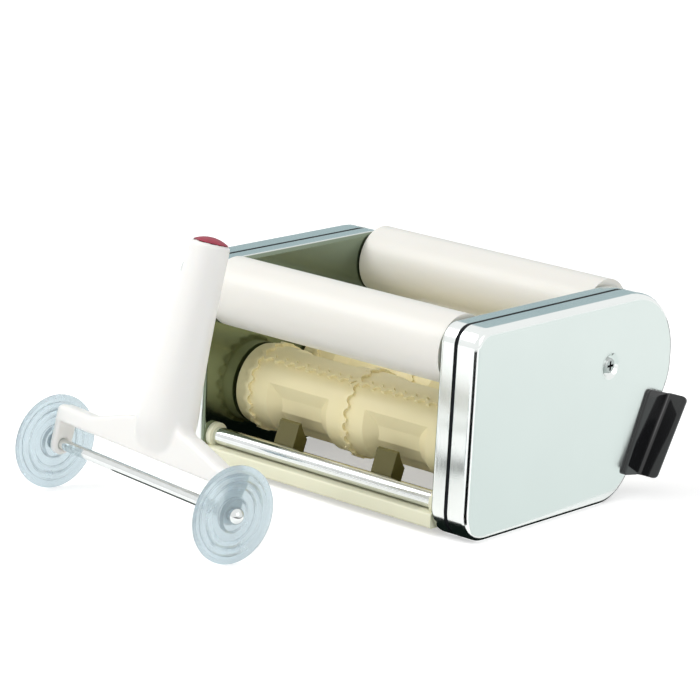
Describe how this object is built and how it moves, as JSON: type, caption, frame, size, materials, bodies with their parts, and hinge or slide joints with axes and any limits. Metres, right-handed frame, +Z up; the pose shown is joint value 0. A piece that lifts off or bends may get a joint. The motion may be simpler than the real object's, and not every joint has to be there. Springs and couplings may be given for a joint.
{
  "type": "hand cranked ravioli maker attachment with dough cutter",
  "caption": "Hand-cranked ravioli maker with steel side casings, scalloped forming rolls, guide rollers, hook brackets and a free-standing wheeled dough cutter.",
  "frame": {"origin": "middle of the whole set's footprint on the table, with the crank and the cutter counted", "axes": "+X runs along the rollers from the crank side to the gear side, +Y runs from the cutter and the front guide roller back to the hook brackets, +Z is up from the table"},
  "size_m": [0.2826, 0.2596, 0.1261],
  "materials": {
    "casing_steel": "polished stainless sheet",
    "plate_steel": "plain rolled steel",
    "fastener_steel": "zinc plated",
    "hook_black": "gloss black enamel",
    "rod_chrome": "bright chrome plate",
    "comb_cream": "moulded, semi matt",
    "roll_cream": "moulded, semi matt",
    "guide_white": "warm white, satin",
    "bush_bronze": "sintered bronze",
    "gear_nylon": "natural nylon",
    "knob_black": "satin black",
    "handle_white": "white, satin",
    "cap_red": "crimson, satin",
    "wheel_frosted": "frosted clear"
  },
  "bodies": {
    "frame": {"right_inner_pan": "casing_steel", "left_inner_pan": "casing_steel", "right_side_plate": "plate_steel", "left_side_plate": "plate_steel", "right_outer_cover": "casing_steel", "left_outer_cover": "casing_steel", "right_cover_post": "fastener_steel", "left_cover_post": "fastener_steel", "right_cover_screw": "fastener_steel", "left_cover_screw": "fastener_steel", "right_hook_bracket": "hook_black", "left_hook_bracket": "hook_black", "hook_rivets": "fastener_steel", "front_tie_rod": "rod_chrome", "rear_tie_rod": "rod_chrome", "tie_rod_nuts": "fastener_steel", "front_dough_comb": "comb_cream", "rear_dough_comb": "comb_cream", "shaft_bushes": "bush_bronze", "front_guide_axle": "plate_steel", "rear_guide_axle": "plate_steel", "guide_axle_clips": "fastener_steel"},
    "front_guide": {"front_guide_roller": "guide_white", "front_guide_plugs": "guide_white"},
    "rear_guide": {"rear_guide_roller": "guide_white", "rear_guide_plugs": "guide_white"},
    "front_roll": {"front_forming_roll": "roll_cream", "front_roll_shaft": "plate_steel", "drive_gear": "gear_nylon", "front_shaft_clips": "fastener_steel"},
    "rear_roll": {"rear_forming_roll": "roll_cream", "rear_roll_shaft": "plate_steel", "driven_gear": "gear_nylon", "rear_shaft_clips": "fastener_steel"},
    "crank": {"crank_rod": "rod_chrome", "knob_screw": "fastener_steel"},
    "knob": {"crank_knob": "knob_black"},
    "cutter": {"cutter_handle": "handle_white", "cutter_end_cap": "cap_red", "cutter_axle": "rod_chrome", "cutter_axle_domes": "rod_chrome"},
    "left_wheel": {"left_cutter_wheel": "wheel_frosted"},
    "right_wheel": {"right_cutter_wheel": "wheel_frosted"}
  },
  "joints": [
    {"name": "front_guide_spin", "type": "hinge", "parent": "frame", "child": "front_guide", "pos_m": [0.042, 0.00119, 0.0808], "axis": [1, 0, 0], "continuous": true},
    {"name": "rear_guide_spin", "type": "hinge", "parent": "frame", "child": "rear_guide", "pos_m": [0.042, 0.10429, 0.0816], "axis": [1, 0, 0], "continuous": true},
    {"name": "drive_spin", "type": "hinge", "parent": "frame", "child": "front_roll", "pos_m": [0.042, 0.02398, 0.0335], "axis": [1, 0, 0], "continuous": true},
    {"name": "rear_roll_spin", "type": "hinge", "parent": "frame", "child": "rear_roll", "pos_m": [0.042, 0.06599, 0.0335], "axis": [1, 0, 0], "continuous": true},
    {"name": "crank_pull", "type": "slide", "parent": "front_roll", "child": "crank", "axis": [-1, 0, 0], "range_m": [0, 0.03]},
    {"name": "knob_spin", "type": "hinge", "parent": "crank", "child": "knob", "pos_m": [-0.1123, 0.11363, 0.0128], "axis": [1, 0, 0], "continuous": true},
    {"name": "cutter_lift", "type": "slide", "parent": "frame", "child": "cutter", "axis": [0, 0, 1], "range_m": [0, 0.1]},
    {"name": "left_wheel_spin", "type": "hinge", "parent": "cutter", "child": "left_wheel", "pos_m": [-0.04482, -0.09017, 0.0213], "axis": [0.9893, -0.1461, 0], "continuous": true},
    {"name": "right_wheel_spin", "type": "hinge", "parent": "cutter", "child": "right_wheel", "pos_m": [0.08042, -0.10866, 0.0213], "axis": [0.9893, -0.1461, 0], "continuous": true}
  ],
  "couplings": [
    {"joint": "rear_roll_spin", "follows": "drive_spin", "ratio": -1}
  ]
}
